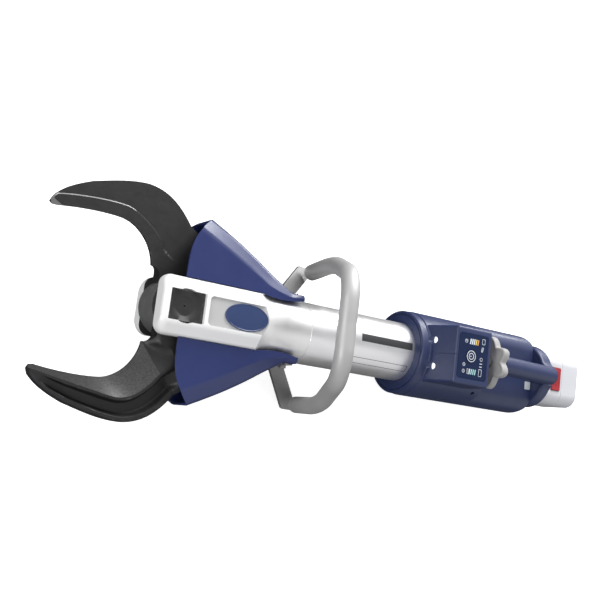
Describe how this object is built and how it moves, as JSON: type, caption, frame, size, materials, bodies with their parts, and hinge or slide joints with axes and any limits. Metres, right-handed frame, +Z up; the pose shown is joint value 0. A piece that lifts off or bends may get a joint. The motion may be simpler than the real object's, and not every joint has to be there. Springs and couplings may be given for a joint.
{
  "type": "rescue cutter",
  "caption": "Battery hydraulic rescue cutter: curved shear blades on a fork, side guards, front bail handle, twist grip, rear bar handle and removable battery.",
  "frame": {"origin": "on the blade pivot axis, at the flat lower face of the pivot nut, flush with the fork's underside", "axes": "+X along the tool towards the blade tips, +Y to the tool's left, +Z up along the pivot axis through the front and rear handles; the cylinder axis runs along X at z = 0.048 m"},
  "size_m": [0.9252, 0.314, 0.2426],
  "materials": {
    "yoke_satin": "satin machined",
    "tube_satin": "satin anodised",
    "cast_alloy": "satin",
    "bracket_alloy": "satin",
    "blade_black": "satin black forged",
    "bolt_dark": "satin dark",
    "steel_plain": "machined",
    "screw_zinc": "zinc plated",
    "rod_chrome": "polished",
    "bronze": "machined",
    "guard_navy": "gloss",
    "housing_navy": "fine grain satin",
    "grip_grey": "satin",
    "panel_film": "satin film",
    "badge_blue": "gloss",
    "lens_white": "frosted",
    "battery_grey": "satin",
    "latch_red": "satin",
    "seal_rubber": "matte",
    "board_green": "satin",
    "contact_black": "matte",
    "rotor_copper": "wound"
  },
  "bodies": {
    "base": {"yoke_body": "yoke_satin", "badge_plate": "badge_blue", "pivot_bolt": "bolt_dark", "pivot_nut": "bolt_dark", "pivot_bush": "bronze", "rod_guide": "bronze", "rod_wiper": "seal_rubber", "cylinder_tube": "tube_satin", "cylinder_base": "cast_alloy", "guard_left": "guard_navy", "guard_right": "guard_navy", "guard_screw_left": "screw_zinc", "guard_screw_right": "screw_zinc", "handle_bracket_left": "bracket_alloy", "handle_bracket_right": "bracket_alloy", "bracket_bolt_left_front": "screw_zinc", "bracket_bolt_left_rear": "screw_zinc", "bracket_bolt_right_front": "screw_zinc", "bracket_bolt_right_rear": "screw_zinc", "front_handle": "cast_alloy", "housing_left": "housing_navy", "housing_right": "housing_navy", "front_ring": "housing_navy", "control_panel": "panel_film", "work_light_left": "lens_white", "work_light_right": "lens_white", "control_board": "board_green", "valve_block": "cast_alloy", "rear_handle": "housing_navy", "battery_dock": "housing_navy", "contact_block": "contact_black", "pump_block": "cast_alloy", "motor_can": "steel_plain", "oil_reservoir": "seal_rubber"},
    "blade_left_body": {"blade_left": "blade_black", "blade_pin_left": "steel_plain"},
    "blade_right_body": {"blade_right": "blade_black", "blade_pin_right": "steel_plain"},
    "rod_body": {"piston_rod": "rod_chrome", "crosshead": "steel_plain", "rod_pin": "steel_plain", "piston": "steel_plain", "piston_seal": "seal_rubber"},
    "link_left_body": {"link_left_inner": "steel_plain", "link_left_outer": "steel_plain"},
    "link_right_body": {"link_right_inner": "steel_plain", "link_right_outer": "steel_plain"},
    "grip_body": {"twist_grip": "grip_grey", "grip_spindle": "steel_plain"},
    "spool_body": {"valve_spool": "steel_plain"},
    "button_body": {"power_button": "panel_film"},
    "rotor_body": {"motor_rotor": "rotor_copper"},
    "battery_body": {"battery_pack": "battery_grey"},
    "latch_body": {"battery_latch": "latch_red"}
  },
  "joints": [
    {"name": "blade_right_pivot", "type": "hinge", "parent": "base", "child": "blade_right_body", "pos_m": [0, 0, 0.048], "axis": [0, 0, 1], "range_deg": [0, 32]},
    {"name": "blade_left_pivot", "type": "hinge", "parent": "base", "child": "blade_left_body", "pos_m": [0, 0, 0.048], "axis": [0, 0, 1], "range_deg": [-32, 0]},
    {"name": "rod_stroke", "type": "slide", "parent": "base", "child": "rod_body", "axis": [1, 0, 0], "range_m": [0, 0.0446]},
    {"name": "link_left_swing", "type": "hinge", "parent": "rod_body", "child": "link_left_body", "pos_m": [-0.10819, 0, 0.048], "axis": [0, 0, 1], "range_deg": [0, 16.3]},
    {"name": "link_right_swing", "type": "hinge", "parent": "rod_body", "child": "link_right_body", "pos_m": [-0.10819, 0, 0.048], "axis": [0, 0, 1], "range_deg": [-16.3, 0]},
    {"name": "grip_twist", "type": "hinge", "parent": "base", "child": "grip_body", "pos_m": [-0.503, 0, 0.129], "axis": [0.9945, 0, 0.1045], "range_deg": [-18, 18]},
    {"name": "spool_shift", "type": "slide", "parent": "base", "child": "spool_body", "axis": [0, 1, 0], "range_m": [-0.0065, 0.0065]},
    {"name": "button_press", "type": "slide", "parent": "base", "child": "button_body", "axis": [0, 0, -1], "range_m": [0, 0.0008]},
    {"name": "motor_spin", "type": "hinge", "parent": "base", "child": "rotor_body", "pos_m": [-0.46, 0, 0.038], "axis": [1, 0, 0], "continuous": true},
    {"name": "battery_slide", "type": "slide", "parent": "base", "child": "battery_body", "axis": [-1, 0, 0], "range_m": [0, 0.12]},
    {"name": "latch_press", "type": "slide", "parent": "battery_body", "child": "latch_body", "axis": [0, 0, -1], "range_m": [0, 0.003]}
  ],
  "couplings": [
    {"joint": "blade_left_pivot", "follows": "blade_right_pivot", "ratio": -1},
    {"joint": "rod_stroke", "follows": "blade_right_pivot", "m_per_rad": 0.07977},
    {"joint": "link_left_swing", "follows": "blade_right_pivot", "ratio": 0.5066},
    {"joint": "link_right_swing", "follows": "blade_right_pivot", "ratio": -0.5066},
    {"joint": "spool_shift", "follows": "grip_twist", "m_per_rad": 0.0205}
  ]
}
